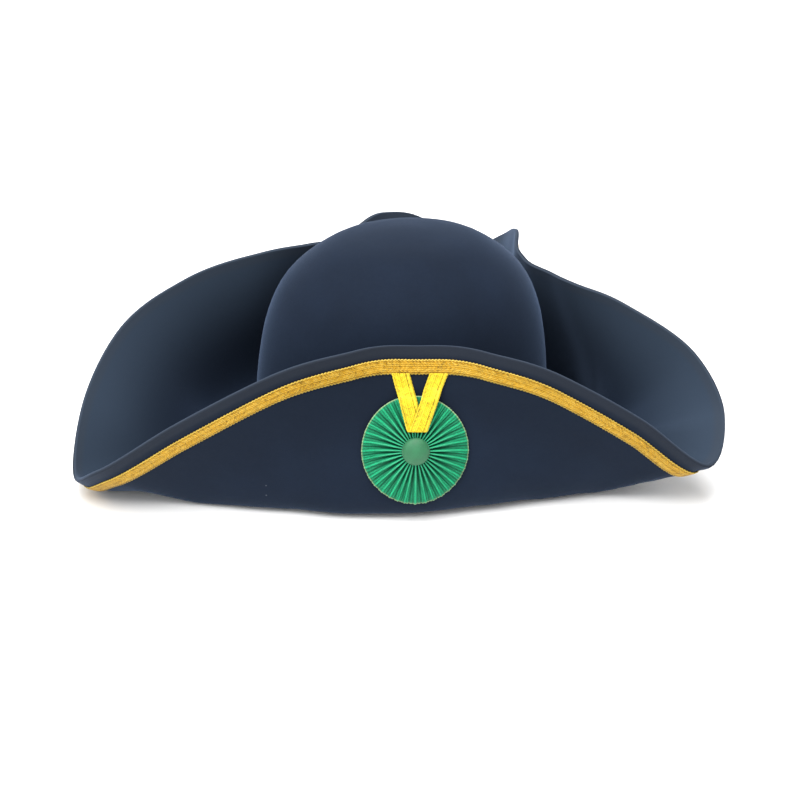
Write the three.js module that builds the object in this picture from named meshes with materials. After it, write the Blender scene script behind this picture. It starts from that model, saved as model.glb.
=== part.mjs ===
import * as THREE from 'three';
import { ParametricGeometry } from 'three/addons/geometries/ParametricGeometry.js';

// A tricorne: one round felt blank with a domed crown, its brim turned up on three sides.
// Millimetres, +Z up. The hat rests on the folds of its brim, the cockade faces -Y,
// and the origin is on the resting plane, under the middle of the hat's own box.

// Felt blank
const headLength = 205;
const headWidth = 167;
const feltWall = 3;
const crownHeight = 144.5;
const brimWidth = 133;
const crownFoot = 2.3;
const breakReach = 9;
const frontTurn = -65.5;

// Gold braid round the brim
const braidWidth = 9.8;
const braidThickness = 1;
const braidInset = 8.3;
const sewnGap = 0.3;

// Cockade of pleated ribbon with a covered button, held by a folded loop of wider braid
const cockadeTurn = 4;
const cockadeDrop = 64;
const cockadeDiameter = 67;
const cockadeGap = 0.5;
const cockadeThickness = 5.4;
const cockadeRimThickness = 2.6;
const pleatCount = 36;
const pleatDepth = 1.2;
const buttonDiameter = 17;
const buttonHeight = 5.5;
const loopWidth = 11;
const loopDrop = 51.5;
const loopShift = 1;
const loopSpreadLeft = 10;
const loopSpreadRight = 14;

// Mesh fineness
const columnsPerSection = 3;
const crownSteps = 10;
const breakSteps = 3;
const brimSteps = 8;
const lengthSamples = 24;
const solveSteps = 24;

// Crown outline from the foot to the top, as shares of the crown's height and half width.
const crownRows = [
  { height: 0, reach: 1 },
  { height: 0.2, reach: 0.965 },
  { height: 0.42, reach: 0.935 },
  { height: 0.62, reach: 0.88 },
  { height: 0.78, reach: 0.775 },
  { height: 0.9, reach: 0.59 },
  { height: 0.97, reach: 0.375 },
  { height: 1, reach: 0 },
];

// Brim sections from the front point round to the middle of the back, for both sides.
// turn: degrees from the front point. out, up: where the brim's edge lies, measured from
// the crown's foot, as shares of the brim's width. dip: slope below level at the crown.
// lean: slope above level at the edge. felt: length of the section, as a share of the
// brim's width, because the felt is drawn out a little as it is shaped. inset: how far in
// from the edge the braid lies, as a share. outSkew, upSkew: what the hat's left side has
// more than its right, because the hat is cocked by hand.
const brimRows = [
  { turn: 0, out: 0.928, up: 0.1, dip: 3, lean: 50, felt: 0.966, inset: 0.96,
    outSkew: 0, upSkew: 0 },
  { turn: 9, out: 0.869, up: 0.284, dip: 4, lean: 41, felt: 0.972, inset: 1.1,
    outSkew: 0.04, upSkew: -0.056 },
  { turn: 19, out: 0.67, up: 0.538, dip: 8, lean: 58, felt: 0.976, inset: 1.2,
    outSkew: 0.007, upSkew: -0.041 },
  { turn: 33, out: 0.39, up: 0.738, dip: 11.5, lean: 75.5, felt: 1.018, inset: 1.08,
    outSkew: -0.009, upSkew: -0.002 },
  { turn: 50, out: 0.133, up: 0.811, dip: 10, lean: 92, felt: 1.043, inset: 0.95,
    outSkew: 0, upSkew: -0.008 },
  { turn: 70, out: 0.068, up: 0.806, dip: 9, lean: 102, felt: 1.045, inset: 0.95,
    outSkew: 0, upSkew: -0.004 },
  { turn: 92, out: 0.196, up: 0.783, dip: 10.5, lean: 94, felt: 1.042, inset: 0.97,
    outSkew: 0.013, upSkew: 0.011 },
  { turn: 108, out: 0.445, up: 0.742, dip: 12.5, lean: 78.5, felt: 1.028, inset: 1.13,
    outSkew: 0.01, upSkew: -0.046 },
  { turn: 119, out: 0.734, up: 0.556, dip: 14.5, lean: 61.5, felt: 0.998, inset: 1.2,
    outSkew: -0.014, upSkew: -0.067 },
  { turn: 127, out: 0.94, up: 0.301, dip: 15, lean: 45, felt: 0.999, inset: 1.05,
    outSkew: 0.02, upSkew: -0.056 },
  { turn: 135, out: 0.9, up: 0.462, dip: 12, lean: 54.5, felt: 1.022, inset: 1.02,
    outSkew: 0.031, upSkew: -0.045 },
  { turn: 143, out: 0.646, up: 0.646, dip: 8.5, lean: 70.5, felt: 0.996, inset: 1,
    outSkew: 0.075, upSkew: -0.038 },
  { turn: 152, out: 0.3, up: 0.736, dip: 7, lean: 88, felt: 0.986, inset: 1,
    outSkew: 0.057, upSkew: 0.009 },
  { turn: 163, out: 0.1, up: 0.75, dip: 7, lean: 100, felt: 0.978, inset: 1,
    outSkew: 0.021, upSkew: 0.019 },
  { turn: 180, out: 0.035, up: 0.749, dip: 8, lean: 104, felt: 0.974, inset: 1,
    outSkew: 0, upSkew: 0 },
];

const feltBlack = new THREE.MeshStandardMaterial({
  color: 0x232a35, roughness: 0.95, metalness: 0,
});
const braidGold = new THREE.MeshStandardMaterial({
  color: 0xc4922c, roughness: 0.45, metalness: 0.5,
});
const loopGold = new THREE.MeshStandardMaterial({
  color: 0xe2bc33, roughness: 0.45, metalness: 0.5,
});
const ribbonGreen = new THREE.MeshStandardMaterial({
  color: 0x2aa06e, roughness: 0.6, metalness: 0,
});
const buttonGreen = new THREE.MeshStandardMaterial({
  color: 0x66ad84, roughness: 0.6, metalness: 0,
});

const { degToRad, radToDeg, euclideanModulo, lerp } = THREE.MathUtils;

// The sections of one side of the hat: side is 1 on the hat's left, -1 on its right.
function sideSections(side) {
  return brimRows.map((row) => ({
    turn: side > 0 ? row.turn : 360 - row.turn,
    out: row.out + side * row.outSkew,
    up: row.up + side * row.upSkew,
    dip: row.dip,
    lean: row.lean,
    felt: row.felt,
    inset: row.inset,
  }));
}

const leftSections = sideSections(1);
const rightSections = sideSections(-1).reverse();
const aroundSections = [...leftSections, ...rightSections.slice(1)];

// Slope of a column at section k, from its two neighbours round the ring.
function sectionSlope(k, column) {
  const last = aroundSections.length - 1;
  const here = aroundSections[k];
  const before = aroundSections[k > 0 ? k - 1 : last - 1];
  const after = aroundSections[k < last ? k + 1 : 1];
  const stepBefore = euclideanModulo(here.turn - before.turn, 360);
  const stepAfter = euclideanModulo(after.turn - here.turn, 360);
  const slopeBefore = (here[column] - before[column]) / stepBefore;
  const slopeAfter = (after[column] - here[column]) / stepAfter;
  return (slopeBefore * stepAfter + slopeAfter * stepBefore) / (stepBefore + stepAfter);
}

// A column's value at any turn, on a smooth curve through the sections.
function sectionValue(column, turn) {
  const angle = euclideanModulo(turn, 360);
  let k = 0;
  while (aroundSections[k + 1].turn < angle) k += 1;
  const a = aroundSections[k];
  const b = aroundSections[k + 1];
  const step = b.turn - a.turn;
  const t = (angle - a.turn) / step;
  const slopeA = sectionSlope(k, column) * step;
  const slopeB = sectionSlope(k + 1, column) * step;
  const rise = b[column] - a[column];
  return a[column] + t * (slopeA + t * (3 * rise - 2 * slopeA - slopeB
    + t * (slopeA + slopeB - 2 * rise)));
}

const crownCurve = new THREE.SplineCurve(
  crownRows.map((row) => new THREE.Vector2(row.reach, row.height)));

// Half width of the crown's foot in the direction of a turn, to the middle of the felt.
function footReach(turn) {
  const angle = degToRad(turn);
  const halfLength = (headLength + feltWall) / 2;
  const halfWidth = (headWidth + feltWall) / 2;
  return 1 / Math.hypot(Math.cos(angle) / halfLength, Math.sin(angle) / halfWidth);
}

function curveLength(curve) {
  let length = 0;
  let before = curve.getPoint(0);
  for (let i = 1; i <= lengthSamples; i += 1) {
    const point = curve.getPoint(i / lengthSamples);
    length += point.distanceTo(before);
    before = point;
  }
  return length;
}

// The brim's section at a turn: it leaves the crown's foot, dips, and rises to its edge.
// The fold is as deep as it takes for the section to hold its length of felt.
function brimCurve(turn) {
  const foot = new THREE.Vector2(footReach(turn), crownFoot);
  const edge = new THREE.Vector2(
    foot.x + sectionValue('out', turn) * brimWidth,
    foot.y + sectionValue('up', turn) * brimWidth);
  const dip = degToRad(sectionValue('dip', turn));
  const lean = degToRad(sectionValue('lean', turn));
  const leaving = new THREE.Vector2(Math.cos(dip), -Math.sin(dip));
  const arriving = new THREE.Vector2(Math.cos(lean), Math.sin(lean));
  const curveWith = (handle) => new THREE.CubicBezierCurve(
    foot, foot.clone().addScaledVector(leaving, handle),
    edge.clone().addScaledVector(arriving, -handle), edge);
  const length = sectionValue('felt', turn) * brimWidth;
  let low = 0;
  let high = brimWidth * 1.6;
  for (let i = 0; i < solveSteps; i += 1) {
    const middle = (low + high) / 2;
    if (curveLength(curveWith(middle)) < length) low = middle;
    else high = middle;
  }
  const curve = curveWith(low);
  curve.arcLengthDivisions = lengthSamples * 2;
  return curve;
}

// One section of the felt's middle line, in the plane through the crown's axis.
class FeltSection {
  constructor(turn) {
    this.turn = turn;
    this.reach = footReach(turn);
    this.brim = brimCurve(turn);
    this.brimLength = this.brim.getLength();
    this.inset = sectionValue('inset', turn) * braidInset;
    this.crownShare = breakReach / (crownHeight * crownRows[1].height * (crownRows.length - 1));
  }

  // share is 0 at the top of the crown and 1 where the break to the brim starts.
  crownPoint(share) {
    const point = crownCurve.getPoint(lerp(1, this.crownShare, share));
    return new THREE.Vector2(Math.max(point.x, 0) * this.reach,
      crownFoot + point.y * crownHeight);
  }

  // drop is the distance from the brim's edge, along the felt.
  brimPoint(drop) {
    return this.brim.getPointAt(1 - Math.min(Math.max(drop / this.brimLength, 0), 1));
  }

  // drop is the distance from the braid's upper edge, along the felt.
  braidPoint(drop) {
    return this.brimPoint(this.inset + drop);
  }

  // share is 0 where the break ends and 1 at the braid's lower edge.
  foldPoint(share) {
    return this.brimPoint(lerp(this.brimLength - breakReach, this.inset + braidWidth, share));
  }

  breakPoint(share) {
    const foot = new THREE.Vector2(this.reach, crownFoot);
    const start = this.crownPoint(1);
    const end = this.brim.getPointAt(breakReach / this.brimLength);
    return new THREE.QuadraticBezierCurve(start, foot, end).getPoint(share);
  }
}

// Stations along a section: a share of the crown, break or fold, or a drop from the upper
// edge of the braid or of the brim.
const braidDrops = [braidWidth, braidWidth / 2, 0];
const edgeDrops = [feltWall / 2, 0];
const stations = [];
for (let i = 0; i <= crownSteps; i += 1) stations.push({ part: 'crown', at: i / crownSteps });
for (let i = 1; i <= breakSteps; i += 1) {
  stations.push({ part: 'break', at: i / (breakSteps + 1) });
}
for (let i = 0; i < brimSteps; i += 1) {
  stations.push({ part: 'fold', at: i / brimSteps });
}
for (const drop of braidDrops) stations.push({ part: 'braid', at: drop });
for (const drop of edgeDrops) stations.push({ part: 'brim', at: drop });

function placed(section, station) {
  const points = {
    crown: 'crownPoint', break: 'breakPoint', fold: 'foldPoint', braid: 'braidPoint',
    brim: 'brimPoint',
  };
  const flat = section[points[station.part]](station.at);
  const angle = degToRad(section.turn + frontTurn);
  return new THREE.Vector3(flat.x * Math.sin(angle), -flat.x * Math.cos(angle), flat.y);
}

const turns = [];
for (let k = 0; k < aroundSections.length - 1; k += 1) {
  for (let i = 0; i < columnsPerSection; i += 1) {
    turns.push(lerp(aroundSections[k].turn, aroundSections[k + 1].turn, i / columnsPerSection));
  }
}
const middle = turns.map((turn) => {
  const section = new FeltSection(turn);
  return stations.map((station) => placed(section, station));
});

// The felt's normal at a grid point, towards the crown's outside and the brim's upper side.
function gridNormal(column, row) {
  if (row === 0) return new THREE.Vector3(0, 0, 1);
  const count = middle.length;
  const around = new THREE.Vector3().subVectors(
    middle[(column + 1) % count][row], middle[(column + count - 1) % count][row]);
  const along = new THREE.Vector3().subVectors(
    middle[column][Math.min(row + 1, stations.length - 1)], middle[column][row - 1]);
  return along.cross(around).normalize();
}
const normals = middle.map((line, column) => line.map((point, row) => gridNormal(column, row)));

// A point off the middle of the felt. Where the hat rests the felt is pressed flat.
function offFelt(column, row, height) {
  const point = middle[column][row].clone().addScaledVector(normals[column][row], height);
  point.z = Math.max(point.z, height + feltWall / 2);
  return point;
}

// A surface that closes round the hat, from loops of points, one loop for each column.
// The diagonals of its facets can be turned, so that two facing surfaces match.
function ringGeometry(loops, diagonalsTurned = false) {
  const columns = loops.length;
  const rows = loops[0].length - 1;
  const at = (column, row) => loops[column % columns][row];
  if (diagonalsTurned) {
    return new ParametricGeometry((u, v, target) => {
      target.copy(at(Math.round(v * columns), Math.round(u * rows)));
    }, rows, columns);
  }
  return new ParametricGeometry((u, v, target) => {
    target.copy(at(columns - Math.round(u * columns), Math.round(v * rows)));
  }, columns, rows);
}

function feltBody() {
  const edgeRow = stations.length - 1;
  const rows = [...stations.keys()].slice(0, edgeRow);
  const loops = middle.map((line, column) => [
    ...rows.map((row) => offFelt(column, row, feltWall / 2)),
    middle[column][edgeRow],
    ...rows.toReversed().map((row) => offFelt(column, row, -feltWall / 2)),
  ]);
  return new THREE.Mesh(ringGeometry(loops), feltBlack);
}

function brimBraid() {
  const firstRow = stations.length - braidDrops.length - edgeDrops.length;
  const rows = braidDrops.map((drop, i) => firstRow + i);
  const near = -feltWall / 2 - sewnGap;
  const far = near - braidThickness;
  const onBrim = (column, row, height) => middle[column][row].clone()
    .addScaledVector(normals[column][row], height);
  const loops = middle.map((line, column) => [
    ...rows.map((row) => onBrim(column, row, near)),
    ...rows.toReversed().map((row) => onBrim(column, row, far)),
    onBrim(column, rows[0], near),
  ]);
  return new THREE.Mesh(ringGeometry(loops, true), braidGold);
}

// A point over the outside of the cockaded flap: across to the right, drop from the brim's
// edge along the felt, height off the felt's outer face.
function onFlap(across, drop, height) {
  const flapTurn = cockadeTurn - frontTurn;
  const reach = new FeltSection(flapTurn).brimPoint(drop).x;
  const turn = flapTurn + radToDeg(Math.atan2(across, reach));
  const spot = (turnOff, dropOff) => placed(
    new FeltSection(turn + turnOff), { part: 'brim', at: drop + dropOff });
  const point = spot(0, 0);
  const around = spot(1, 0).sub(spot(-1, 0));
  const along = spot(0, 1).sub(spot(0, -1));
  const outward = along.cross(around).normalize();
  return { point: point.addScaledVector(outward, feltWall / 2 + height), outward };
}

// Pleated disc. The ridges run from the middle to the rim, and the disc follows the flap.
function cockadePleats() {
  const radius = cockadeDiameter / 2;
  const buttonRadius = buttonDiameter / 2;
  const rings = [
    { reach: 0, height: 0, pleat: 0 },
    { reach: radius * 0.6, height: 0, pleat: 0 },
    { reach: radius, height: 0, pleat: 0 },
    { reach: radius, height: cockadeRimThickness, pleat: 0.6 },
    { reach: (radius + buttonRadius) / 2, height: cockadeThickness * 0.85, pleat: 1 },
    { reach: buttonRadius, height: cockadeThickness, pleat: 1 },
    { reach: buttonRadius * 0.6, height: cockadeThickness - pleatDepth, pleat: 0 },
    { reach: 0, height: cockadeThickness - pleatDepth, pleat: 0 },
  ];
  const columns = pleatCount * 2;
  const loops = Array.from({ length: columns }, (_, column) => {
    const angle = (column / columns) * Math.PI * 2;
    const down = column % 2;
    return rings.map((ring) => onFlap(
      ring.reach * Math.sin(angle),
      cockadeDrop - ring.reach * Math.cos(angle),
      cockadeGap + ring.height - down * ring.pleat * pleatDepth).point);
  });
  return new THREE.Mesh(ringGeometry(loops), ribbonGreen);
}

// Covered button: a low dome, turned on its axis and set square on the cockade.
function cockadeButton() {
  const radius = buttonDiameter / 2;
  const dome = [new THREE.Vector2(0, 0), new THREE.Vector2(radius * 0.9, 0)];
  for (let i = 0; i <= 4; i += 1) {
    const angle = (i / 5) * Math.PI / 2;
    dome.push(new THREE.Vector2(radius * Math.cos(angle), lerp(1, buttonHeight, Math.sin(angle))));
  }
  dome.push(new THREE.Vector2(0, buttonHeight));
  const seat = onFlap(0, cockadeDrop, cockadeGap + cockadeThickness + sewnGap);
  const button = new THREE.Mesh(new THREE.LatheGeometry(dome, 20), buttonGreen);
  button.position.copy(seat.point);
  button.quaternion.setFromUnitVectors(new THREE.Vector3(0, 1, 0), seat.outward);
  return button;
}

// Braid folded double: down to the button on the left, over at the fold, and up on the right.
function cockadeLoop() {
  const top = new FeltSection(cockadeTurn - frontTurn).inset + braidWidth + sewnGap;
  const cockadeTop = cockadeDrop - cockadeDiameter / 2;
  const onFelt = sewnGap + braidThickness / 2;
  const onCockade = onFelt + cockadeGap + cockadeThickness;
  const layer = braidThickness + sewnGap;
  const climb = loopWidth * 0.5;
  const heightAt = (drop) => lerp(onFelt, onCockade,
    THREE.MathUtils.smoothstep(drop, cockadeTop - climb, cockadeTop));
  const legSteps = 8;
  const foldSteps = 4;
  const path = [];
  for (let i = 0; i <= legSteps; i += 1) {
    const drop = lerp(top, loopDrop, i / legSteps);
    const across = loopShift - loopSpreadLeft * (1 - i / legSteps);
    path.push({ across, drop, height: heightAt(drop), turned: 0, spread: loopSpreadLeft });
  }
  for (let i = 1; i < foldSteps; i += 1) {
    const turned = (i / foldSteps) * Math.PI;
    path.push({
      across: loopShift,
      drop: loopDrop + (layer / 2) * Math.sin(turned),
      height: onCockade + (layer / 2) * (1 - Math.cos(turned)),
      turned,
      spread: lerp(loopSpreadLeft, loopSpreadRight, i / foldSteps),
    });
  }
  for (let i = 0; i <= legSteps; i += 1) {
    const drop = lerp(loopDrop, top, i / legSteps);
    const across = loopShift + loopSpreadRight * (i / legSteps);
    const height = heightAt(drop) + layer * Math.min(1, 2 - (2 * i) / legSteps);
    path.push({ across, drop, height, turned: Math.PI, spread: loopSpreadRight });
  }
  const corners = path.map((spot) => {
    const legLength = loopDrop - top;
    const halfWidth = (loopWidth / 2) * Math.hypot(1, spot.spread / legLength);
    const half = braidThickness / 2;
    const corner = (side, face) => onFlap(
      spot.across + side * halfWidth,
      spot.drop + face * half * Math.sin(spot.turned),
      spot.height - face * half * Math.cos(spot.turned)).point;
    return [corner(-1, 1), corner(1, 1), corner(1, -1), corner(-1, -1), corner(-1, 1)];
  });
  const first = corners[0];
  const last = corners[corners.length - 1];
  const middleOf = (loop) => loop[0].clone().add(loop[2]).multiplyScalar(0.5);
  const rows = [
    first.map(() => middleOf(first)), ...corners, last.map(() => middleOf(last)),
  ];
  const geometry = new ParametricGeometry((u, v, target) => {
    target.copy(rows[Math.round(v * (rows.length - 1))][Math.round(u * 4)]);
  }, 4, rows.length - 1);
  return new THREE.Mesh(geometry, loopGold);
}

const pieces = {
  felt_body: feltBody(),
  brim_braid: brimBraid(),
  cockade_pleats: cockadePleats(),
  cockade_button: cockadeButton(),
  cockade_loop: cockadeLoop(),
};

const group = new THREE.Group();
for (const [name, mesh] of Object.entries(pieces)) {
  mesh.name = name;
  group.add(mesh);
}
const box = new THREE.Box3().setFromObject(group);
group.position.set(-(box.min.x + box.max.x) / 2, -(box.min.y + box.max.y) / 2, -box.min.z);

export default group;
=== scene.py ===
import math

import bmesh
import bpy
import numpy as np
from bpy.props import FloatProperty, FloatVectorProperty, IntProperty, PointerProperty
from mathutils import Matrix, Quaternion, Vector


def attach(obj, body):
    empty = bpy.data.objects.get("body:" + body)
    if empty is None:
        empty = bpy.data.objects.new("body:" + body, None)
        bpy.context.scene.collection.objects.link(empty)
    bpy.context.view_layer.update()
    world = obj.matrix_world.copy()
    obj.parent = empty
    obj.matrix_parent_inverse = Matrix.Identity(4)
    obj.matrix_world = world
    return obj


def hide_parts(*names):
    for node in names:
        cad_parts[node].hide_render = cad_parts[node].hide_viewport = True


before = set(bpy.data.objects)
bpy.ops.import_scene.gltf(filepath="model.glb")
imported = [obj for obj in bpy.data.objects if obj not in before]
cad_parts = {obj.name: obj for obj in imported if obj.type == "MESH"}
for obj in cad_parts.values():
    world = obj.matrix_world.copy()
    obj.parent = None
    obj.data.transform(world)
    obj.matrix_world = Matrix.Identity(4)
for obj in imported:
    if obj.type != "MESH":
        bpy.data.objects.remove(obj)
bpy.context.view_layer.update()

bl_info = {
    "name": "Tricorne hat",
    "version": (1, 0, 0),
    "blender": (4, 5, 0),
    "location": "3D View > Sidebar > Tricorne",
    "description": "Builds a felt tricorne with gold braid and a pleated cockade",
    "category": "Add Mesh",
}

MM = 0.001

# Crown outline from the foot to the top: height and half width, as shares.
CROWN_ROWS = (
    (0, 1), (0.2, 0.965), (0.42, 0.935), (0.62, 0.88),
    (0.78, 0.775), (0.9, 0.59), (0.97, 0.375), (1, 0),
)

# Brim sections from the front point round to the middle of the back. turn: degrees from
# the front point. out, up: the edge's place from the crown's foot, as shares of the brim's
# width. dip, lean: slopes in degrees at the crown and at the edge. felt: length of the
# section, as a share. inset: how far in the braid lies, as a share. out_skew, up_skew: what
# the left side has more than the right.
BRIM_COLUMNS = ("turn", "out", "up", "dip", "lean", "felt", "inset", "out_skew", "up_skew")
BRIM_ROWS = (
    (0, 0.928, 0.1, 3, 50, 0.966, 0.96, 0, 0),
    (9, 0.869, 0.284, 4, 41, 0.972, 1.1, 0.04, -0.056),
    (19, 0.67, 0.538, 8, 58, 0.976, 1.2, 0.007, -0.041),
    (33, 0.39, 0.738, 11.5, 75.5, 1.018, 1.08, -0.009, -0.002),
    (50, 0.133, 0.811, 10, 92, 1.043, 0.95, 0, -0.008),
    (70, 0.068, 0.806, 9, 102, 1.045, 0.95, 0, -0.004),
    (92, 0.196, 0.783, 10.5, 94, 1.042, 0.97, 0.013, 0.011),
    (108, 0.445, 0.742, 12.5, 78.5, 1.028, 1.13, 0.01, -0.046),
    (119, 0.734, 0.556, 14.5, 61.5, 0.998, 1.2, -0.014, -0.067),
    (127, 0.94, 0.301, 15, 45, 0.999, 1.05, 0.02, -0.056),
    (135, 0.9, 0.462, 12, 54.5, 1.022, 1.02, 0.031, -0.045),
    (143, 0.646, 0.646, 8.5, 70.5, 0.996, 1, 0.075, -0.038),
    (152, 0.3, 0.736, 7, 88, 0.986, 1, 0.057, 0.009),
    (163, 0.1, 0.75, 7, 100, 0.978, 1, 0.021, 0.019),
    (180, 0.035, 0.749, 8, 104, 0.974, 1, 0, 0),
)

# Area lights: name, place in metres, watts and colour.
LIGHTS = (
    ("Top", (0, 0, 2), 38, (1, 1, 1)),
    ("Key", (-0.5, -0.9, 1.7), 25, (1, 0.99, 0.97)),
    ("Front", (0.1, -1.2, 1.8), 13, (1, 1, 1)),
    ("Low front", (0, -1.8, 0.6), 4, (1, 1, 1)),
    ("Left", (-1.3, -1.1, 0.9), 8, (0.95, 0.98, 1)),
    ("Back", (0, 1.6, 1), 8, (0.95, 0.98, 1)),
)
LIGHT_SIZE = 1.2


def crown_axis():
    """Where the crown's axis stands: at the highest point of the felt solid."""
    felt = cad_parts["felt_body"].data
    top = max(felt.vertices, key=lambda vertex: vertex.co.z)
    return Vector((top.co.x, top.co.y, 0))


CROWN_AXIS = crown_axis()


def length_setting(name, description, millimetres):
    return FloatProperty(
        name=name, description=description, default=millimetres * MM,
        min=0.1 * MM, unit="LENGTH", precision=4)


def colour_setting(name, description, rgb):
    return FloatVectorProperty(
        name=name, description=description, default=rgb, size=3,
        min=0, max=1, subtype="COLOR")


class FeltSettings(bpy.types.PropertyGroup):
    head_length: length_setting("Head length", "Inside length of the crown's foot", 205)
    head_width: length_setting("Head width", "Inside width of the crown's foot", 167)
    wall: length_setting("Felt", "Thickness of the felt", 3)
    crown_height: length_setting("Crown height", "From the foot to the top", 144.5)
    brim_width: length_setting("Brim width", "From the crown's foot to the edge", 133)
    crown_foot: length_setting("Foot height", "Height of the crown's foot", 2.3)
    break_reach: length_setting("Break", "Reach of the bend from crown to brim", 9)
    front_turn: FloatProperty(
        name="Front point", description="Direction of the front point",
        default=math.radians(-65.5), subtype="ANGLE")
    columns: IntProperty(
        name="Columns", description="Columns of faces round the hat", default=360, min=24)
    black: colour_setting("Black", "Colour of the felt", (0.005, 0.0095, 0.0198))
    # Painted light: a paler colour laid on the inner faces of the flaps towards the edge, for the
    # light they catch there.
    skylit: colour_setting(
        "Brushed", "Colour of the brushed nap inside the flaps", (0.027, 0.041, 0.064))
    nap: colour_setting("Nap", "Colour of the felt's sheen", (0.36, 0.52, 0.85))


class BraidSettings(bpy.types.PropertyGroup):
    width: length_setting("Width", "Width of the braid", 9.8)
    thickness: length_setting("Thickness", "Thickness of the braid", 1)
    inset: length_setting("Inset", "From the brim's edge to the braid", 8.3)
    gap: length_setting("Gap", "Between a sewn piece and the felt", 0.3)
    picot: length_setting("Picot", "Pitch of the loops along the braid's edges", 2.1)
    gold: colour_setting("Gold", "Colour of the braid's field", (0.48, 0.255, 0.008))
    pale: colour_setting("Pale gold", "Colour of the braid's selvedges", (0.56, 0.42, 0.085))
    loop_pale: colour_setting(
        "Loop pale gold", "Colour of the loop's selvedges", (0.68, 0.52, 0.035))
    loop_gold: colour_setting("Loop gold", "Colour of the cockade's loop", (0.68, 0.48, 0.008))


class CockadeSettings(bpy.types.PropertyGroup):
    turn: FloatProperty(
        name="Turn", description="Direction of the cockade from the flap's middle",
        default=math.radians(4), subtype="ANGLE")
    drop: length_setting("Drop", "From the brim's edge to the cockade's middle", 64)
    diameter: length_setting("Diameter", "Diameter of the cockade", 67)
    thickness: length_setting("Thickness", "Height of the pleats at the button", 5.4)
    rim_thickness: length_setting("Rim", "Height of the pleats at the rim", 2.6)
    pleats: IntProperty(name="Pleats", description="Number of pleats", default=36, min=6)
    pleat_depth: length_setting("Pleat depth", "Depth of the folds at the button", 2.2)
    button_diameter: length_setting("Button", "Diameter of the covered button", 17)
    button_height: length_setting("Button height", "Height of the covered button", 5.5)
    loop_width: length_setting("Loop width", "Width of the loop's braid", 11)
    loop_drop: length_setting("Loop drop", "From the brim's edge to the loop's fold", 51.5)
    loop_shift: length_setting("Loop shift", "How far the fold lies to the right", 1)
    loop_left: length_setting("Left leg", "How far the left leg starts to the left", 10)
    loop_right: length_setting("Right leg", "How far the right leg starts to the right", 14)
    green: colour_setting("Green", "Colour of the ribbon", (0.0005, 0.15, 0.066))
    # Painted shade for the ribbon's folds and painted highlight for its ridges.
    shade: colour_setting("Shade", "Colour in the ribbon's folds", (0.0003, 0.026, 0.014))
    light: colour_setting("Light", "Colour on the ribbon's ridges", (0.012, 0.44, 0.19))
    button: colour_setting("Button green", "Colour of the button's cover", (0.012, 0.12, 0.046))


class StageSettings(bpy.types.PropertyGroup):
    distance: length_setting("Distance", "From the camera to the hat", 1100)
    elevation: FloatProperty(
        name="Elevation", description="Height of the camera above level",
        default=math.radians(25.05), subtype="ANGLE")
    roll: FloatProperty(
        name="Roll", description="Roll of the camera", default=math.radians(1.1),
        subtype="ANGLE")
    aim_height: length_setting("Aim height", "Height that the camera looks at", 60)
    lens: FloatProperty(
        name="Lens", description="Focal length on a 36 mm wide sensor, in millimetres",
        default=73.477)
    shift_x: FloatProperty(name="Shift X", description="Sideways shift", default=-0.0045)
    shift_y: FloatProperty(name="Shift Y", description="Upward shift", default=-0.06)


class HatSettings(bpy.types.PropertyGroup):
    felt: PointerProperty(type=FeltSettings)
    braid: PointerProperty(type=BraidSettings)
    cockade: PointerProperty(type=CockadeSettings)
    stage: PointerProperty(type=StageSettings)


# Felt shape


def smoothstep(value, low, high):
    share = np.clip((value - low) / (high - low), 0, 1)
    return share * share * (3 - 2 * share)


def brim_sections():
    """The brim's sections all the way round, the left side first."""
    left, right = [], []
    for row in BRIM_ROWS:
        values = dict(zip(BRIM_COLUMNS, row))
        for side, sections in ((1, left), (-1, right)):
            sections.append((
                values["turn"] if side > 0 else 360 - values["turn"],
                values["out"] + side * values["out_skew"],
                values["up"] + side * values["up_skew"],
                values["dip"], values["lean"], values["felt"], values["inset"]))
    return np.array(left + right[::-1][1:])


def section_values(turns):
    """All columns but the turn, at any turns, on smooth curves through the sections."""
    sections = brim_sections()
    knots, values = sections[:-1, 0], sections[:-1, 1:]
    step = (np.roll(knots, -1) - knots) % 360
    rise = np.roll(values, -1, 0) - values
    slope = rise / step[:, None]
    before, step_before = np.roll(slope, 1, 0), np.roll(step, 1)
    tangent = (before * step[:, None] + slope * step_before[:, None]) / (
        step + step_before)[:, None]
    turns = np.asarray(turns, float) % 360
    k = np.searchsorted(knots, turns, side="right") - 1
    t = ((turns - knots[k]) / step[k])[:, None]
    start = tangent[k] * step[k, None]
    end = np.roll(tangent, -1, 0)[k] * step[k, None]
    return values[k] + t * (start + t * (
        3 * rise[k] - 2 * start - end + t * (start + end - 2 * rise[k])))


def crown_outline(share):
    """Height and half width of the crown, as shares, on a smooth curve through its rows."""
    rows = np.array(CROWN_ROWS, float)
    padded = np.vstack([rows[:1], rows, rows[-1:]])
    place = np.asarray(share, float) * (len(rows) - 1)
    k = np.minimum(place.astype(int), len(rows) - 2)
    t = (place - k)[..., None]
    p0, p1, p2, p3 = (padded[k + i] for i in range(4))
    return p1 + t * (0.5 * (p2 - p0) + t * (
        p0 - 2.5 * p1 + 2 * p2 - 0.5 * p3 + t * 0.5 * (3 * (p1 - p2) + p3 - p0)))


def bezier(points, t):
    """Cubic curves with control points [curve, 4, 2], at the shares t [curve, sample]."""
    t = t[..., None]
    a, b, c, d = (points[:, i, None, :] for i in range(4))
    return ((1 - t) ** 3 * a + 3 * (1 - t) ** 2 * t * b + 3 * (1 - t) * t ** 2 * c
            + t ** 3 * d)


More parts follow.
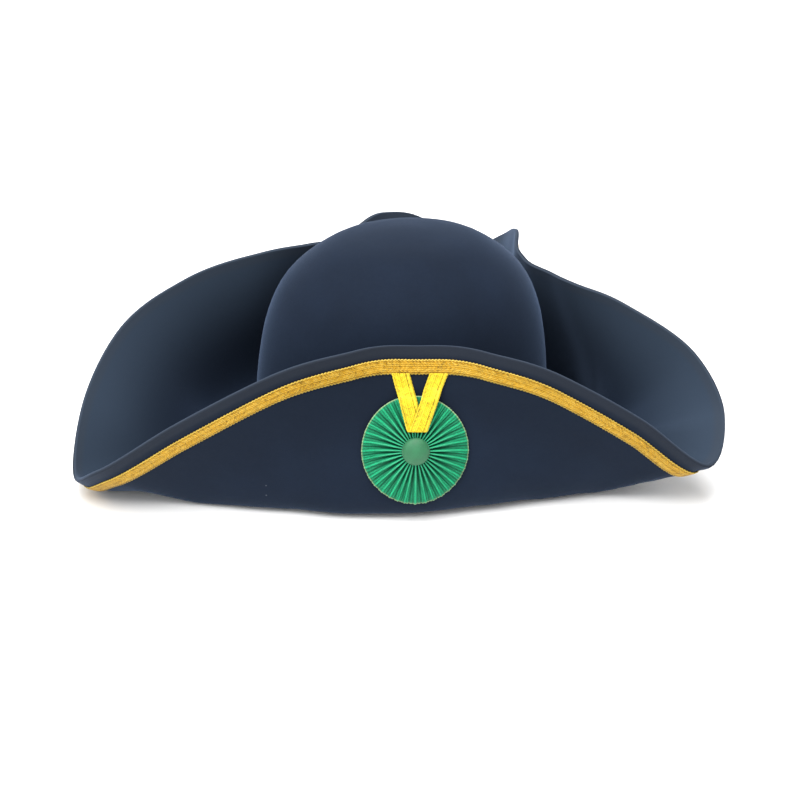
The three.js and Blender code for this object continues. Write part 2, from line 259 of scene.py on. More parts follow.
class FeltSurface:
    """The middle of the felt as a fine table of points, round the hat and out to its edge."""

    def __init__(self, felt):
        self.felt = felt
        self.columns = 1440
        self.turns = np.arange(self.columns) * 360 / self.columns
        self.curves, self.lengths = self.brim_curves(self.turns)
        self.rows = 160
        self.points = self.brim_table()
        self.normals = self.table_normals(self.points)

    def foot_reach(self, turns):
        angle = np.radians(turns)
        half_length = (self.felt.head_length + self.felt.wall) / 2
        half_width = (self.felt.head_width + self.felt.wall) / 2
        return 1 / np.hypot(np.cos(angle) / half_length, np.sin(angle) / half_width)

    def brim_curves(self, turns):
        """The brim's section at each turn, with folds as deep as its length of felt takes."""
        out, up, dip, lean, share, _ = section_values(turns).T
        reach = self.foot_reach(turns)
        foot = np.stack([reach, np.full_like(reach, self.felt.crown_foot)], 1)
        edge = foot + np.stack([out, up], 1) * self.felt.brim_width
        dip, lean = np.radians(dip), np.radians(lean)
        leaving = np.stack([np.cos(dip), -np.sin(dip)], 1)
        arriving = np.stack([np.cos(lean), np.sin(lean)], 1)
        wanted = share * self.felt.brim_width
        samples = np.tile(np.linspace(0, 1, 25), (len(reach), 1))

        def curves(handle):
            return np.stack([
                foot, foot + leaving * handle[:, None],
                edge - arriving * handle[:, None], edge], 1)

        def lengths(points):
            steps = np.diff(bezier(points, samples), axis=1)
            return np.hypot(steps[..., 0], steps[..., 1]).sum(1)

        low = np.zeros(len(reach))
        high = np.full(len(reach), self.felt.brim_width * 1.6)
        for _ in range(24):
            middle = (low + high) / 2
            short = lengths(curves(middle)) < wanted
            low, high = np.where(short, middle, low), np.where(short, high, middle)
        points = curves(low)
        return points, lengths(points)

    def brim_line(self, shares):
        """Points along each column's section, at shares [column, row] of its length."""
        fine = np.linspace(0, 1, 121)
        line = bezier(self.curves, np.tile(fine, (len(self.curves), 1)))
        steps = np.diff(line, axis=1)
        run = np.concatenate([
            np.zeros((len(line), 1)), np.cumsum(np.hypot(steps[..., 0], steps[..., 1]), 1)], 1)
        run /= run[:, -1:]
        t = np.stack([np.interp(shares[i], run[i], fine) for i in range(len(run))])
        return bezier(self.curves, t)

    def brim_table(self):
        """Rows from the edge in to the break."""
        inner = (self.lengths - self.felt.break_reach) / self.lengths
        rows = np.arange(self.rows + 1) / self.rows
        shares = 1 - rows[None, :] * inner[:, None]
        return self.turned(self.turns, self.pressed(self.brim_line(shares)))

    def pressed(self, flat):
        """The felt is pressed level where it would reach below the plane it rests on."""
        softness = 1.2 * MM
        above = flat[..., 1] - self.felt.wall / 2
        lifted = (above + np.sqrt(above ** 2 + softness ** 2)) / 2
        return np.stack([flat[..., 0], self.felt.wall / 2 + lifted], -1)

    def turned(self, turns, flat):
        angle = np.radians(turns) + self.felt.front_turn
        return np.stack([
            flat[..., 0] * np.sin(angle)[:, None] + CROWN_AXIS.x,
            -flat[..., 0] * np.cos(angle)[:, None] + CROWN_AXIS.y,
            flat[..., 1]], -1)

    @staticmethod
    def table_normals(points):
        around = np.roll(points, -1, 0) - np.roll(points, 1, 0)
        outward = -np.gradient(points, axis=1)
        normals = np.cross(outward, around)
        return normals / np.linalg.norm(normals, axis=-1, keepdims=True)

    def crown_table(self, rows):
        """Rows from the top of the crown to where the break to the brim starts."""
        break_share = self.felt.break_reach / (
            self.felt.crown_height * CROWN_ROWS[1][0] * (len(CROWN_ROWS) - 1))
        line = crown_outline(1 + (break_share - 1) * np.linspace(0, 1, rows + 1) ** 0.85)
        reach = self.foot_reach(self.turns)[:, None] * np.maximum(line[None, :, 1], 0)
        height = self.felt.crown_foot + line[None, :, 0] * self.felt.crown_height
        return self.turned(
            self.turns, np.stack([reach, np.broadcast_to(height, reach.shape)], -1))

    def break_table(self, rows):
        """Rows over the rounded break, between the crown's last row and the brim's first."""
        start = self.crown_table(1)[:, 1]
        end = self.points[:, -1]
        foot = self.turned(self.turns, np.stack([
            self.foot_reach(self.turns), np.full(self.columns, self.felt.crown_foot)],
            -1)[:, None])[:, 0]
        t = (np.arange(1, rows + 1) / (rows + 1))[None, :, None]
        return ((1 - t) ** 2 * start[:, None] + 2 * (1 - t) * t * foot[:, None]
                + t ** 2 * end[:, None])

    def at(self, turns, drops, heights=0.0):
        """Points off the felt's outer face, at drops from its edge along the felt, with
        normals that point away from the face."""
        turns, drops, heights = np.broadcast_arrays(turns, drops, heights)
        column = (turns % 360) * self.columns / 360
        left = column.astype(int) % self.columns
        right = (left + 1) % self.columns
        across = (column - np.floor(column))[..., None]
        length = np.interp(turns % 360, self.turns, self.lengths, period=360)
        row = np.clip(drops / (length - self.felt.break_reach), 0, 1) * self.rows
        top = np.minimum(row.astype(int), self.rows - 1)
        down = (row - top)[..., None]

        def mixed(table):
            upper = table[left, top] * (1 - across) + table[right, top] * across
            lower = table[left, top + 1] * (1 - across) + table[right, top + 1] * across
            return upper * (1 - down) + lower * down

        outward = -mixed(self.normals)
        outward /= np.linalg.norm(outward, axis=-1, keepdims=True)
        return mixed(self.points) + outward * (self.felt.wall / 2 + heights)[..., None], outward

    def braid_inset(self, turns, braid):
        return braid.inset * section_values(turns)[:, -1]

    def on_flap(self, across, drops, heights):
        """Points over the cockaded flap, across to the right of the cockade's middle."""
        cockade = bpy.context.scene.tricorne.cockade
        middle = math.degrees(cockade.turn - self.felt.front_turn)
        spot, _ = self.at(middle, drops)
        reach = np.hypot(spot[..., 0] - CROWN_AXIS.x, spot[..., 1] - CROWN_AXIS.y)
        return self.at(middle + np.degrees(np.arctan2(across, reach)), drops, heights)


# Mesh helpers


def run_along(points):
    """Length of a line from its start to each of its points."""
    return np.concatenate([[0], np.cumsum(np.linalg.norm(np.diff(points, axis=0), axis=1))])


def woven_grid(columns, rows, place, length, width, merge=0.0):
    """A grid of faces set in place by a function of its shares, with a UV map in metres.

    place takes arrays of shares along and across, and returns points [n, 3] and a
    dictionary of values for the points.
    """
    bm = bmesh.new()
    uv = bm.loops.layers.uv.new("UVMap")
    bmesh.ops.create_grid(bm, x_segments=columns, y_segments=rows, size=0.5)
    bm.verts.ensure_lookup_table()
    shares = np.array([vertex.co[:2] for vertex in bm.verts]) + 0.5
    for face in bm.faces:
        for loop in face.loops:
            along, across = loop.vert.co.xy
            loop[uv].uv = ((along + 0.5) * length, (across + 0.5) * width)
    points, values = place(shares[:, 0], shares[:, 1])
    layers = {name: bm.verts.layers.float.new(name) for name in values}
    for index, vertex in enumerate(bm.verts):
        vertex.co = points[index]
        for name, layer in layers.items():
            vertex[layer] = values[name][index]
    if merge:
        bmesh.ops.remove_doubles(bm, verts=bm.verts, dist=merge)
    return bm


def finished_piece(bm, name, look, node):
    """Makes the mesh an object that rides on the hat and stands for its solid."""
    mesh = bpy.data.meshes.new(name)
    for face in bm.faces:
        face.smooth = True
    bm.to_mesh(mesh)
    bm.free()
    mesh.materials.append(look)
    piece = bpy.data.objects.new(name, mesh)
    bpy.context.scene.collection.objects.link(piece)
    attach(piece, "root")
    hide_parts(node)
    return piece


def add_wall(piece, thickness, offset, bevel=0.0):
    """Gives a sheet its thickness, and rounds its rim."""
    wall = piece.modifiers.new("Wall", "SOLIDIFY")
    wall.thickness = thickness
    wall.offset = offset
    wall.use_even_offset = False
    if bevel:
        rounding = piece.modifiers.new("Rounded rim", "BEVEL")
        rounding.width = bevel
        rounding.segments = 3
        rounding.limit_method = "ANGLE"
        rounding.angle_limit = math.radians(50)


# Looks


class Shade:
    """An output of a node; sums of shades add their Math nodes."""

    def __init__(self, look, socket):
        self.look = look
        self.socket = socket

    def math(self, operation, *values):
        return self.look.node("ShaderNodeMath", {"operation": operation}, dict(enumerate(values)))

    def __add__(self, other):
        return self.math("ADD", self, other)

    def __radd__(self, other):
        return self.math("ADD", other, self)

    def __sub__(self, other):
        return self.math("SUBTRACT", self, other)

    def __rsub__(self, other):
        return self.math("SUBTRACT", other, self)

    def __mul__(self, other):
        return self.math("MULTIPLY", self, other)

    def __rmul__(self, other):
        return self.math("MULTIPLY", other, self)

    def __pow__(self, other):
        return self.math("POWER", self, other)

    def sine(self):
        return self.math("SINE", self)

    def absolute(self):
        return self.math("ABSOLUTE", self)

    def step(self, low, high):
        """0 below low and 1 above high, smooth between them."""
        return self.look.node(
            "ShaderNodeMapRange", {"interpolation_type": "SMOOTHSTEP"},
            {"Value": self, "From Min": low, "From Max": high})


class Look:
    """A material with one principled shader, and the nodes that feed it."""

    def __init__(self, name):
        self.material = bpy.data.materials.new(name)
        self.material.use_nodes = True
        self.tree = self.material.node_tree
        self.shader = self.tree.nodes["Principled BSDF"]

    def node(self, kind, settings=None, inputs=None, output=0):
        """Adds a node, makes its settings, feeds its inputs and returns one output."""
        made = self.tree.nodes.new(kind)
        for name, value in (settings or {}).items():
            setattr(made, name, value)
        for name, value in (inputs or {}).items():
            self.feed(made.inputs[name], value)
        return Shade(self, made.outputs[output])

    def feed(self, socket, value):
        if isinstance(value, Shade):
            self.tree.links.new(value.socket, socket)
        else:
            socket.default_value = value

    def set(self, **inputs):
        """Feeds the shader's own sockets; an underscore in a name stands for a space."""
        for name, value in inputs.items():
            self.feed(self.shader.inputs[name.replace("_", " ")], value)

    def mixed(self, factor, first, second):
        """One colour over another."""
        return self.node(
            "ShaderNodeMix", {"data_type": "RGBA"}, {0: factor, 6: first, 7: second}, 2)

    def noise(self, vector, scale, detail=4.0, roughness=0.5, distortion=0.0):
        return self.node("ShaderNodeTexNoise", None, {
            "Vector": vector, "Scale": scale, "Detail": detail,
            "Roughness": roughness, "Distortion": distortion})

    def object_place(self):
        return self.node("ShaderNodeTexCoord", output="Object")

    def map_place(self):
        """Metres along and across the piece."""
        place = self.node("ShaderNodeUVMap", {"uv_map": "UVMap"})
        along = self.node("ShaderNodeSeparateXYZ", None, {0: place}, 0)
        across = self.node("ShaderNodeSeparateXYZ", None, {0: place}, 1)
        return along, across

    def value(self, name):
        return self.node("ShaderNodeAttribute", {"attribute_name": name}, output="Fac")

    def offset_from_sheet(self, place):
        """How far a point of a thickened sheet lies above the sheet's middle, in metres."""
        offset = 0 - self.value("sheet_level")
        for axis, name in enumerate(("sheet_x", "sheet_y", "sheet_z")):
            part = self.node("ShaderNodeSeparateXYZ", None, {0: place}, axis)
            offset = offset + part * self.value(name)
        return offset

    def bump(self, height, distance, strength=1.0):
        """Relief from a height between 0 and 1, with its depth in metres."""
        self.set(Normal=self.node("ShaderNodeBump", None, {
            "Height": height, "Distance": distance, "Strength": strength}))


def opaque(rgb, factor=1.0):
    return (*(min(channel * factor, 1) for channel in rgb), 1)


def felt_look(felt):
    """Smooth wool felt: short tangled fibres, a faint mottle, painted light on the inner faces of
    the flaps towards the edge, painted shade on the outer face round the braid near the edge, a
    painted paler band along the edge for light on its rounded margin, and a few specks of lint."""
    look = Look("felt")
    place = look.object_place()
    fibres = look.noise(place, 1400, 6, 0.72, 1.5)
    fuzz = look.noise(place, 420, 5, 0.65)
    mottle = look.noise(place, 34, 4, 0.6)
    clouds = look.noise(place, 9, 2, 0.5)
    tone = 0.62 + 0.3 * fibres + 0.22 * mottle + 0.24 * clouds
    drop = look.value("edge_drop")
    edge = 1 - drop.step(0.004, 0.009)
    upper = look.offset_from_sheet(place).step(-0.0006, 0.0006)
    colour = look.mixed(
        tone.step(0.72, 1.3), opaque(felt.black, 0.72), opaque(felt.black, 1.55))
    # Painted light: paler on the inner faces of the flaps, growing towards the edge.
    skylit = look.mixed(
        upper * (1 - drop.step(0.01, 0.085)) * 0.9, colour, opaque(felt.skylit))
    # Painted shade: darker on the outer face within a few centimetres of the edge, round the
    # braid.
    shaded = look.mixed(
        (1 - upper) * (1 - drop.step(0.03, 0.07)) * 0.45, skylit, opaque(felt.black, 0.6))
    # Painted light: a paler band over the last few millimetres of the edge, for light on its
    # rounded margin.
    edge_lit = look.mixed(edge * 0.28, shaded, opaque((0.034, 0.037, 0.042)))
    cells = {"Vector": place, "Scale": 105.0}
    spots = look.node("ShaderNodeTexVoronoi", None, cells)
    chance = look.node("ShaderNodeTexWhiteNoise", None, {
        "Vector": look.node("ShaderNodeTexVoronoi", None, cells, "Position")})
    lint = (1 - spots.step(0.03, 0.07)) * chance.step(0.965, 0.975)
    look.set(
        Base_Color=look.mixed(lint * 0.2, edge_lit, (0.3, 0.32, 0.35, 1)),
        Roughness=0.8 + 0.15 * fuzz,
        Specular_IOR_Level=0.12,
        Sheen_Weight=0.19,
        Sheen_Roughness=0.4,
        Sheen_Tint=opaque(felt.nap))
    look.bump(fibres * 0.6 + fuzz * 0.4, 0.00022, 0.55)
    return look.material


def braid_look(name, field, pale, braid, shine, wear_and_shade):
    """Woven metal thread: slanted threads in lengthwise ribs between pale selvedges, with painted
    shade where the threads sink and painted glints where they stand highest. wear_and_shade is
    how strongly its dark flecks and the painted shade between its ribs show."""
    look = Look(name)
    along, across = look.map_place()
    place = look.object_place()
    width = braid.width
    side = across - width / 2
    middle = side.absolute()
    wander = look.noise(place, 700, 3, 0.6)
    slant = (along + middle * 0.8) * (2 * math.pi / 0.00095) + wander * 5
    threads = 0.5 + 0.5 * slant.sine()
    ribs = (0.5 + 0.5 * (across * (2 * math.pi * 8 / width)).sine()) ** 0.5
    groove = (middle - width * 0.37).absolute().step(0.00005, 0.00055)
    centre = middle.step(0.0, 0.0007)
    selvedge = middle.step(width * 0.41, width * 0.455)
    relief = (threads * 0.6 + ribs * 0.4) * (0.25 + 0.75 * groove) * (0.6 + 0.4 * centre)
    strands = look.node("ShaderNodeTexNoise", {"noise_dimensions": "2D"}, {
        "Vector": look.node("ShaderNodeCombineXYZ", None, {
            0: (along + middle * 0.8) * 1500, 1: across * 260}), "Scale": 1.0, "Detail": 3.0})
    patches = look.noise(place, 150, 4, 0.65)
    tone = relief * 0.6 + strands * 0.75 + patches * 0.35
    flecks = look.noise(place, 950, 2, 0.5).step(0.54, 0.64)
    # Random dark flecks, and painted shade along the valleys between the ribs.
    flecks_and_rib_shade = flecks * 0.6 + (1 - ribs).step(0.6, 0.95) * 0.35
    # Painted shade where the threads and ribs sink and along the grooves, over random strand and
    # patch tone.
    dark = look.mixed(tone.step(0.5, 0.9), opaque(field, 0.2), opaque(field, 1.08))
    flecked_and_shaded = look.mixed(flecks_and_rib_shade * (1 - selvedge) * wear_and_shade, dark, opaque(field, 0.14))
    # Painted glints: pale gold where the threads and strands stand highest.
    glinting = look.mixed(tone.step(0.96, 1.16) * 0.9, flecked_and_shaded, opaque(pale, 1.15))
    edged = look.mixed(selvedge * (0.3 + 0.7 * threads), glinting, opaque(pale))
    look.set(
        Base_Color=edged,
        Roughness=0.56 - 0.2 * strands,
        Metallic=shine,
        Specular_IOR_Level=0.3)
    look.bump(relief * 0.7 + strands * 0.3, 0.0004, 0.8)
    return look.material


def ribbon_look(cockade):
    """Ribbed silk ribbon in sharp pleats, with painted shade in its folds and painted highlights
    on its ridges.
    """
    look = Look("ribbon_green")
    place = look.object_place()
    turn, reach = look.map_place()
    ridge = look.value("ridge")
    rim = look.value("rim")
    streaks = look.node("ShaderNodeTexNoise", {"noise_dimensions": "2D"}, {
        "Vector": look.node("ShaderNodeCombineXYZ", None, {
            0: turn * 1500 + look.noise(place, 260, 2, 0.5) * 1.6, 1: reach * 130}),
        "Scale": 1.0, "Detail": 3.0})
    ribs = 0.5 + 0.5 * (turn * 2 * math.pi * 1500).sine()
    fibres = look.noise(place, 1500, 3, 0.6)
    tone = ridge * (0.68 - 0.38 * rim) + streaks * (0.6 + 0.6 * rim) + fibres * 0.1
    # Painted shade in the folds and painted highlights on the ridges, over random streaks of
    # tone.
    dark = look.mixed(tone.step(0.44, 0.84), opaque(cockade.shade), opaque(cockade.green))
    lit = look.mixed(tone.step(0.84, 1.02), dark, opaque(cockade.light))
    # Painted highlight: a paler green along the crests of the pleats towards the button.
    crest_highlight = ridge.step(0.8, 0.96) * (1 - rim.step(0.5, 0.85))
    crest_lit = look.mixed(crest_highlight * 0.35, lit, (0.08, 0.3, 0.19, 1))
    look.set(
        Base_Color=look.mixed(rim.step(0.974, 0.99) * 0.75, crest_lit, (0.3, 0.4, 0.2, 1)),
        Roughness=0.4 + 0.15 * fibres,
        Specular_IOR_Level=0.2,
        Sheen_Weight=0.03,
        Sheen_Roughness=0.35,
        Sheen_Tint=(0.5, 1, 0.75, 1))
    look.bump(streaks * 0.6 + ribs * 0.25 + fibres * 0.15, 0.00022, 0.7)
    return look.material


def button_look(cockade):
    """The same ribbon stretched smooth over the button."""
    look = Look("button_green")
    place = look.object_place()
    across = look.node("ShaderNodeSeparateXYZ", None, {0: place}, 0)
    ribs = 0.5 + 0.5 * (across * 2 * math.pi * 1600).sine()
    fibres = look.noise(place, 1300, 4, 0.6)
    patches = look.noise(place, 150, 2, 0.5)
    tone = ribs * 0.25 + fibres * 0.45 + patches * 0.5
    look.set(
        Base_Color=look.mixed(
            tone.step(0.35, 0.85), opaque(cockade.button, 0.72), opaque(cockade.button, 1.2)),
        Roughness=0.5 + 0.12 * fibres,
        Sheen_Weight=0.12,
        Sheen_Roughness=0.4)
    look.bump(ribs * 0.6 + fibres * 0.4, 0.00014, 0.6)
    return look.material


def floor_look():
    look = Look("pale_floor")
    place = look.object_place()
    look.set(
        Base_Color=look.mixed(look.noise(place, 3, 2, 0.5).step(0.3, 0.7),
                              (0.93, 0.93, 0.93, 1), (0.95, 0.95, 0.95, 1)),
        Roughness=0.9, Specular_IOR_Level=0.1)
    return look.material


# Operators


class TRICORNE_OT_felt_body(bpy.types.Operator):
    """Form the felt body: one sheet of felt from the top of the crown to the brim's edge"""

    bl_idname = "tricorne.felt_body"
    bl_label = "Felt body"

    def execute(self, context):
        felt = context.scene.tricorne.felt
        surface = FeltSurface(felt)
        step = surface.columns // felt.columns
        reach = felt.brim_width - felt.break_reach
        near_edge = np.array([1.5, 4]) * MM / reach
        brim_rows = np.unique(np.concatenate([np.linspace(0, 1, 49) ** 1.25, near_edge]))
        brim = surface.points[:, np.round(brim_rows[::-1] * surface.rows).astype(int)]
        table = np.concatenate(
            [surface.crown_table(26), surface.break_table(5), brim], 1)[::step]
        far = 1.0
        edge = np.full(table.shape[1], far)
        edge[-brim.shape[1]:] = brim_rows[::-1] * reach
        columns, rows = table.shape[0], table.shape[1] - 1

        ahead = np.roll(table, -1, 0) - np.roll(table, 1, 0)
        normal = np.cross(ahead, np.gradient(table, axis=1))
        normal /= np.maximum(np.linalg.norm(normal, axis=2, keepdims=True), 1e-12)
        crown_row = 3
        normal *= np.sign(normal[:, crown_row, 2].mean())

        def place(along, across):
            column = np.round(along * columns).astype(int) % columns
            row = rows - np.round(across * rows).astype(int)
            point, up = table[column, row], normal[column, row]
            return point, {
                "edge_drop": edge[row], "sheet_level": (point * up).sum(1),
                "sheet_x": up[:, 0], "sheet_y": up[:, 1], "sheet_z": up[:, 2]}

        around = 2 * math.pi * felt.head_length / 2
        bm = woven_grid(columns, rows, place, around, felt.brim_width * 2, 0.02 * MM)
        bmesh.ops.recalc_face_normals(bm, faces=bm.faces)
        piece = finished_piece(bm, "felt", felt_look(felt), "felt_body")
        add_wall(piece, felt.wall, 0, felt.wall * 0.42)
        return {"FINISHED"}


class TRICORNE_OT_brim_braid(bpy.types.Operator):
    """Sew the gold braid round the under side of the brim"""

    bl_idname = "tricorne.brim_braid"
    bl_label = "Brim braid"

    def execute(self, context):
        settings = context.scene.tricorne
        braid = settings.braid
        surface = FeltSurface(settings.felt)
        turns = np.arange(surface.columns + 1) * 360 / surface.columns
        insets = surface.braid_inset(turns, braid)
        line, _ = surface.at(turns, insets + braid.width / 2)
        run = run_along(line)
        picots = int(round(run[-1] / braid.picot))
        columns, rows = picots * 4, 8

        def place(along, across):
            turn = np.interp(along * run[-1], run, turns)
            loops = np.abs(np.sin(along * picots * math.pi))
            side = across * 2 - 1
            stray = 0.12 * np.sin(along * 151) + 0.1 * np.sin(along * 389)
            half = braid.width / 2 * (1.01 - 0.14 * (1 - loops) + 0.012 * stray)
            inset = np.interp(turn, turns, insets)
            drop = inset + braid.width / 2 + side * half
            crown = (1 - 0.55 * np.abs(side) ** 4) * (0.85 + 0.15 * loops * np.abs(side) ** 3)
            height = braid.gap + braid.thickness * crown
            return surface.at(turn, drop, height)[0], {}

        bm = woven_grid(columns, rows, place, run[-1], braid.width, 0.02 * MM)
        bmesh.ops.recalc_face_normals(bm, faces=bm.faces)
        look = braid_look("braid_gold", braid.gold, braid.pale, braid, 0.4, 1.0)
        piece = finished_piece(bm, "braid", look, "brim_braid")
        add_wall(piece, braid.thickness * 0.5, -1)
        return {"FINISHED"}


class TRICORNE_OT_cockade(bpy.types.Operator):
    """Pleat the ribbon into the cockade's disc, following the flap"""

    bl_idname = "tricorne.cockade"
    bl_label = "Cockade"

    def execute(self, context):
        settings = context.scene.tricorne
        cockade, braid = settings.cockade, settings.braid
        surface = FeltSurface(settings.felt)
        radius, inner = cockade.diameter / 2, cockade.button_diameter * 0.3
        columns, rows = cockade.pleats * 20, 30
        seeds = np.random.default_rng(11)
        wander = [(k, seeds.uniform(0, 2 * math.pi), seeds.uniform(0.4, 1))
                  for k in (2, 3, 5, 7, 11)]

        def place(along, across):
            turn = along * 2 * math.pi
            reach = inner + (radius - inner) * across
            share = reach / radius
            drift = sum(size * np.sin(k * turn + phase) for k, phase, size in wander)
            pleat = cockade.pleats * turn + 0.5 * drift
            ridge = (0.5 + 0.5 * np.cos(pleat)) ** 1.3
            gathers = 0.5 + 0.5 * np.cos(3 * pleat + 1.7 * np.sin(2 * turn + drift))
            open_share = smoothstep(share, 0.42, 0.95)
            fold = ridge * (1 - open_share) + (0.45 * ridge + 0.55 * gathers) * open_share
            top = cockade.thickness + (
                cockade.rim_thickness - cockade.thickness) * smoothstep(share, 0.2, 1)
            depth = cockade.pleat_depth * (1 - 0.55 * open_share)
            edge = smoothstep(share, 0.93, 1)
            height = braid.gap + 0.3 * MM + np.maximum(
                top - depth * (1 - fold) - 0.9 * MM * edge, 0.2 * MM)
            spread = reach * (1 + 0.008 * (fold - 0.5) * edge)
            points, _ = surface.on_flap(
                spread * np.sin(turn), cockade.drop - spread * np.cos(turn), height)
            return points, {"ridge": fold, "rim": share}

        bm = woven_grid(columns, rows, place, 2 * math.pi, radius, 0.01 * MM)
        bmesh.ops.recalc_face_normals(bm, faces=bm.faces)
        piece = finished_piece(
            bm, "cockade", ribbon_look(cockade), "cockade_pleats")
        add_wall(piece, 0.35 * MM, 0)
        return {"FINISHED"}


class TRICORNE_OT_button(bpy.types.Operator):
    """Set the covered button on the middle of the cockade"""

    bl_idname = "tricorne.button"
    bl_label = "Covered button"

    def execute(self, context):
        settings = context.scene.tricorne
        cockade, braid = settings.cockade, settings.braid
        surface = FeltSurface(settings.felt)
        radius, height = cockade.button_diameter / 2, cockade.button_height
        seat, outward = surface.on_flap(
            np.zeros(1), np.full(1, cockade.drop), braid.gap * 2 + cockade.thickness)
        bm = bmesh.new()
        angles = np.linspace(0, math.pi / 2, 9)
        profile = [(0, 0), (radius * 0.86, 0), (radius * 0.97, height * 0.12)]
        profile += [(radius * math.cos(a), height * (0.24 + 0.76 * math.sin(a))) for a in angles]
        line = [bm.verts.new((x, 0, z)) for x, z in profile]
        edges = [bm.edges.new(pair) for pair in zip(line, line[1:])]
        bmesh.ops.spin(
            bm, geom=line + edges, cent=(0, 0, 0), axis=(0, 0, 1), dvec=(0, 0, 0),
            angle=2 * math.pi, steps=72, use_merge=True)
        bmesh.ops.remove_doubles(bm, verts=bm.verts, dist=0.02 * MM)
        for vertex in bm.verts:
            reach = math.hypot(vertex.co.x, vertex.co.y)
            turn = math.atan2(vertex.co.y, vertex.co.x)
            rim = smoothstep(reach / radius, 0.72, 1)
            vertex.co.z += 0.12 * MM * rim * math.sin(24 * turn + 0.6 * math.sin(5 * turn))
        bmesh.ops.recalc_face_normals(bm, faces=bm.faces)
        turn = Vector((0, 0, 1)).rotation_difference(Vector(outward[0]))
        matrix = Matrix.Translation(Vector(seat[0])) @ turn.to_matrix().to_4x4()
        bmesh.ops.transform(bm, verts=bm.verts, matrix=matrix)
        finished_piece(
            bm, "button", button_look(cockade), "cockade_button")
        return {"FINISHED"}


class TRICORNE_OT_loop(bpy.types.Operator):
    """Fold a length of the braid into a V from the brim's braid down to the button"""

    bl_idname = "tricorne.loop"
    bl_label = "Cockade loop"

    def path(self, cockade, braid):
        """Across, drop, height and slope of the braid's middle, down one leg and up the other."""
        top = braid.inset + braid.width - 1.4 * MM
        low = braid.gap
        high = low + cockade.thickness + braid.gap
        cockade_top = cockade.drop - cockade.diameter / 2
        layer = braid.thickness + braid.gap

        def height(drop):
            return low + (high - low) * smoothstep(
                drop, cockade_top - cockade.loop_width * 0.45, cockade_top + 2 * MM)

        steps = 24
        spots = []
        for i in range(steps + 1):
            share = i / steps
            drop = top + (cockade.loop_drop - top) * share
            spots.append((
                cockade.loop_shift - cockade.loop_left * (1 - share) - 0.7 * MM * share,
                drop, height(drop)))
        for i in range(1, 5):
            turned = i / 5 * math.pi
            spots.append((
                cockade.loop_shift + (-0.7 + 1.4 * i / 5) * MM,
                cockade.loop_drop + layer / 2 * math.sin(turned),
                high + layer / 2 * (1 - math.cos(turned))))
        for i in range(steps + 1):
            share = 1 - i / steps
            drop = top + (cockade.loop_drop - top) * share
            spots.append((
                cockade.loop_shift + cockade.loop_right * (1 - share) + 0.7 * MM * share,
                drop, height(drop) + layer * min(1, 2 * share)))
        return np.array(spots)

    def execute(self, context):
        settings = context.scene.tricorne
        cockade, braid = settings.cockade, settings.braid
        surface = FeltSurface(settings.felt)
        spots = self.path(cockade, braid)
        run = run_along(spots)
        picots = int(round(run[-1] / braid.picot))
        columns, rows = picots * 4, 8

        def place(along, across):
            at = along * run[-1]
            middle = np.stack([np.interp(at, run, spots[:, i]) for i in range(3)], 1)
            loops = np.abs(np.sin(along * picots * math.pi))
            side = across * 2 - 1
            half = cockade.loop_width / 2 * 1.05 * (1 - 0.05 * (1 - loops))
            crown = 1 - 0.4 * np.abs(side) ** 4
            height = middle[:, 2] + braid.thickness * 0.8 * crown
            points, _ = surface.on_flap(middle[:, 0] + side * half, middle[:, 1], height)
            return points, {}

        bm = woven_grid(columns, rows, place, run[-1], cockade.loop_width)
        look = braid_look("loop_gold", braid.loop_gold, braid.loop_pale, braid, 0.25, 0.5)
        piece = finished_piece(bm, "loop", look, "cockade_loop")
        add_wall(piece, braid.thickness * 0.45, 0)
        return {"FINISHED"}


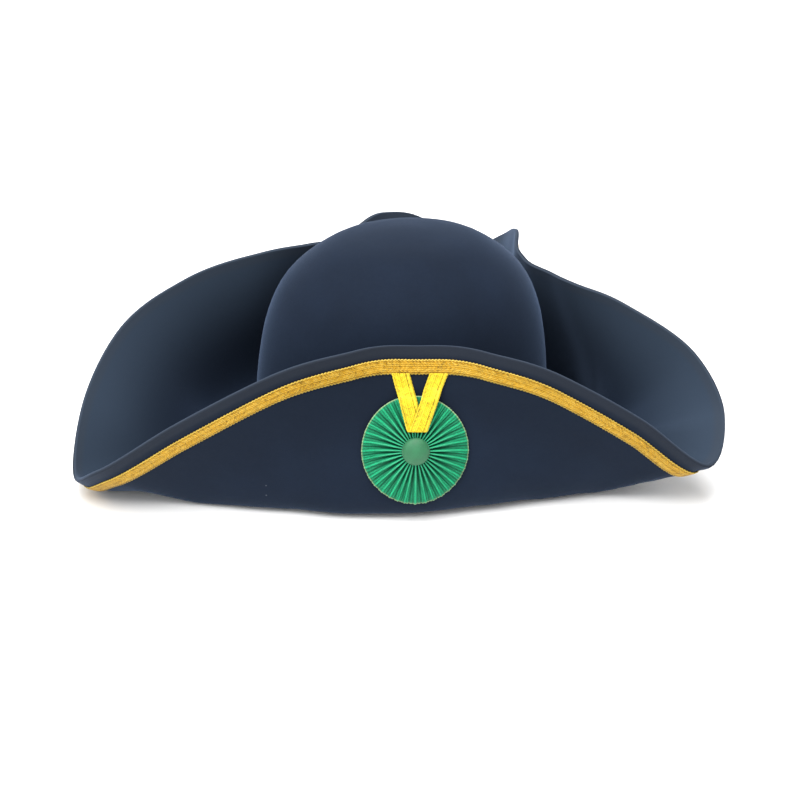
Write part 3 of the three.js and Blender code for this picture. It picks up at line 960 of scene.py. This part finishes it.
class TRICORNE_OT_stage(bpy.types.Operator):
    """Lay the pale floor, light it softly and set the camera"""

    bl_idname = "tricorne.stage"
    bl_label = "Stage"

    def add_light(self, name, place, power, colour):
        data = bpy.data.lights.new(name, "AREA")
        data.shape = "DISK"
        data.size = LIGHT_SIZE
        data.energy = power
        data.color = colour
        light = bpy.data.objects.new(name, data)
        light.location = place
        light.rotation_euler = (Vector((0, 0, 0.05)) - Vector(place)).to_track_quat(
            "-Z", "Y").to_euler()
        bpy.context.scene.collection.objects.link(light)

    def execute(self, context):
        scene = context.scene
        stage = scene.tricorne.stage
        bm = bmesh.new()
        bmesh.ops.create_grid(bm, x_segments=8, y_segments=8, size=6)
        mesh = bpy.data.meshes.new("floor")
        bm.to_mesh(mesh)
        bm.free()
        mesh.materials.append(floor_look())
        floor = bpy.data.objects.new("floor", mesh)
        scene.collection.objects.link(floor)

        world = bpy.data.worlds.new("Pale room")
        world.use_nodes = True
        background = world.node_tree.nodes["Background"]
        background.inputs["Color"].default_value = (1, 1, 1, 1)
        background.inputs["Strength"].default_value = 0.6
        scene.world = world
        for light in LIGHTS:
            self.add_light(*light)

        data = bpy.data.cameras.new("Camera")
        data.lens = stage.lens
        data.sensor_width = 36
        data.shift_x, data.shift_y = stage.shift_x, stage.shift_y
        data.clip_start, data.clip_end = 0.01, 50
        camera = bpy.data.objects.new("Camera", data)
        back = Vector((0, -math.cos(stage.elevation), math.sin(stage.elevation)))
        aim = CROWN_AXIS + Vector((0, 0, stage.aim_height))
        camera.location = aim + back * stage.distance
        camera.rotation_mode = "QUATERNION"
        camera.rotation_quaternion = (-back).to_track_quat("-Z", "Y") @ Quaternion(
            (0, 0, 1), stage.roll)
        scene.collection.objects.link(camera)
        scene.camera = camera
        scene.view_settings.view_transform = "Standard"
        return {"FINISHED"}


PIECE_OPERATORS = (
    TRICORNE_OT_felt_body, TRICORNE_OT_brim_braid, TRICORNE_OT_cockade,
    TRICORNE_OT_button, TRICORNE_OT_loop, TRICORNE_OT_stage,
)


class TRICORNE_PT_panel(bpy.types.Panel):
    bl_idname = "TRICORNE_PT_panel"
    bl_label = "Tricorne"
    bl_space_type = "VIEW_3D"
    bl_region_type = "UI"
    bl_category = "Tricorne"

    def draw(self, context):
        settings = context.scene.tricorne
        for group in (settings.felt, settings.braid, settings.cockade, settings.stage):
            box = self.layout.box()
            for name in group.__annotations__:
                box.prop(group, name)
        for operator in PIECE_OPERATORS:
            self.layout.operator(operator.bl_idname)


CLASSES = (
    FeltSettings, BraidSettings, CockadeSettings, StageSettings, HatSettings,
    *PIECE_OPERATORS, TRICORNE_PT_panel,
)


def register():
    for kind in CLASSES:
        bpy.utils.register_class(kind)
    bpy.types.Scene.tricorne = PointerProperty(type=HatSettings)


def unregister():
    del bpy.types.Scene.tricorne
    for kind in reversed(CLASSES):
        bpy.utils.unregister_class(kind)


def main():
    register()
    for operator in PIECE_OPERATORS:
        group, name = operator.bl_idname.split(".")
        getattr(getattr(bpy.ops, group), name)()
    bpy.context.view_layer.update()


if __name__ == "__main__":
    main()
